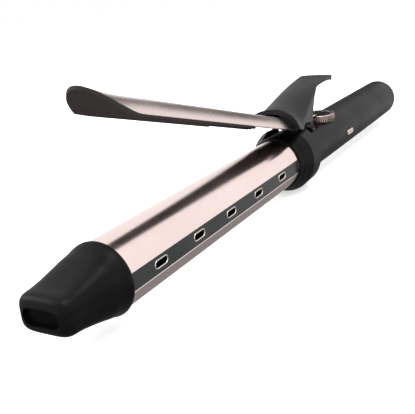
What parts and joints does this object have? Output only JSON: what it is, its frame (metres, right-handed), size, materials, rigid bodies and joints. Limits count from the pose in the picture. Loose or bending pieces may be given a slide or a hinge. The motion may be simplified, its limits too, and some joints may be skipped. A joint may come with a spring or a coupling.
{
  "type": "curling iron",
  "caption": "Hair curling iron with a polished round barrel, a sprung clamp with a thumb lever, a vented side strip, a black cool tip and handle, a knurled heat dial and a side button.",
  "frame": {"origin": "on the handle's axis, at the mouth of the cord gland at the rear end", "axes": "+X along the handle and barrel towards the cool tip, +Y towards the vented side strip and the side button, +Z towards the clamp, its lever and the dial"},
  "size_m": [0.358, 0.033, 0.0782],
  "materials": {
    "rose_gold_plate": "polished, vapour-coated steel, pale rose gold",
    "dark_strip": "dark grey moulded strip",
    "vent_bezel": "bright plated",
    "black_matte": "soft-touch black",
    "lever_matte": "moulded charcoal",
    "bracket_grey": "heat-proof moulding",
    "inlay_black": "black",
    "liner_brown": "dark silicone lining",
    "heater_aluminium": "die-cast",
    "ceramic_white": "fired",
    "sensor_glass": "fired bead",
    "fuse_steel": "tinned",
    "lead_sleeve": "glass-fibre sleeve",
    "duct_resin": "heat-proof resin",
    "screw_steel": "zinc plated",
    "frame_nylon": "glass-filled nylon",
    "motor_steel": "drawn can",
    "fan_plastic": "moulded",
    "board_green": "solder mask",
    "component_black": "moulded packages",
    "capacitor_sleeve": "shrink sleeve",
    "spring_steel": "drawn wire",
    "gland_rubber": "moulded",
    "dial_metal": "polished, rose gold",
    "dial_black": "gloss black",
    "dial_core": "acetal",
    "pointer_white": "white",
    "button_silver": "satin, pinkish silver"
  },
  "bodies": {
    "iron_body": {"barrel_tube": "rose_gold_plate", "vent_strip": "dark_strip", "vent_bezels": "vent_bezel", "air_duct": "duct_resin", "heater_block_upper": "heater_aluminium", "heater_block_lower": "heater_aluminium", "heating_plates": "ceramic_white", "thermistor": "sensor_glass", "thermal_fuse": "fuse_steel", "heater_leads": "lead_sleeve", "cool_tip": "black_matte", "tip_inlay": "inlay_black", "tip_carrier": "duct_resin", "tip_screw": "screw_steel", "front_ring": "black_matte", "collar": "black_matte", "handle_sleeve": "black_matte", "inner_frame": "frame_nylon", "end_cap": "black_matte", "handle_screws": "screw_steel", "gland_retainer": "frame_nylon", "fan_housing": "frame_nylon", "fan_motor": "motor_steel", "control_board": "board_green", "capacitor": "capacitor_sleeve", "triac": "component_black", "controller_chip": "component_black", "potentiometer": "component_black", "tact_switch": "component_black", "hinge_block": "frame_nylon", "hinge_pin": "spring_steel", "torsion_spring": "spring_steel"},
    "clamp": {"clamp_plate": "rose_gold_plate", "clamp_rivets": "screw_steel", "clamp_liner": "liner_brown", "clamp_bracket": "bracket_grey", "thumb_lever": "lever_matte"},
    "dial": {"dial_ring": "dial_metal", "dial_shaft": "dial_core", "dial_face": "dial_black", "dial_pointer": "pointer_white"},
    "button": {"side_button": "button_silver"},
    "cord_swivel": {"swivel_gland": "gland_rubber"},
    "fan_wheel": {"fan_impeller": "fan_plastic"}
  },
  "joints": [
    {"name": "clamp_hinge", "type": "hinge", "parent": "iron_body", "child": "clamp", "pos_m": [0.1534, 0, 0.009], "axis": [0, -1, 0], "range_deg": [-14.93, 15], "stiffness_Nm_per_rad": 0.25, "springref_deg": -22.92},
    {"name": "dial_turn", "type": "hinge", "parent": "iron_body", "child": "dial", "pos_m": [0.1302, 0, 0.0097], "axis": [0, 0, 1], "range_deg": [-135, 135]},
    {"name": "button_press", "type": "slide", "parent": "iron_body", "child": "button", "axis": [0, -1, 0], "range_m": [0, 0.0005], "stiffness_N_per_m": 400},
    {"name": "gland_swivel", "type": "hinge", "parent": "iron_body", "child": "cord_swivel", "pos_m": [0.005, 0, 0], "axis": [1, 0, 0], "continuous": true},
    {"name": "fan_spin", "type": "hinge", "parent": "iron_body", "child": "fan_wheel", "pos_m": [0.03, 0, 0], "axis": [1, 0, 0], "continuous": true}
  ]
}
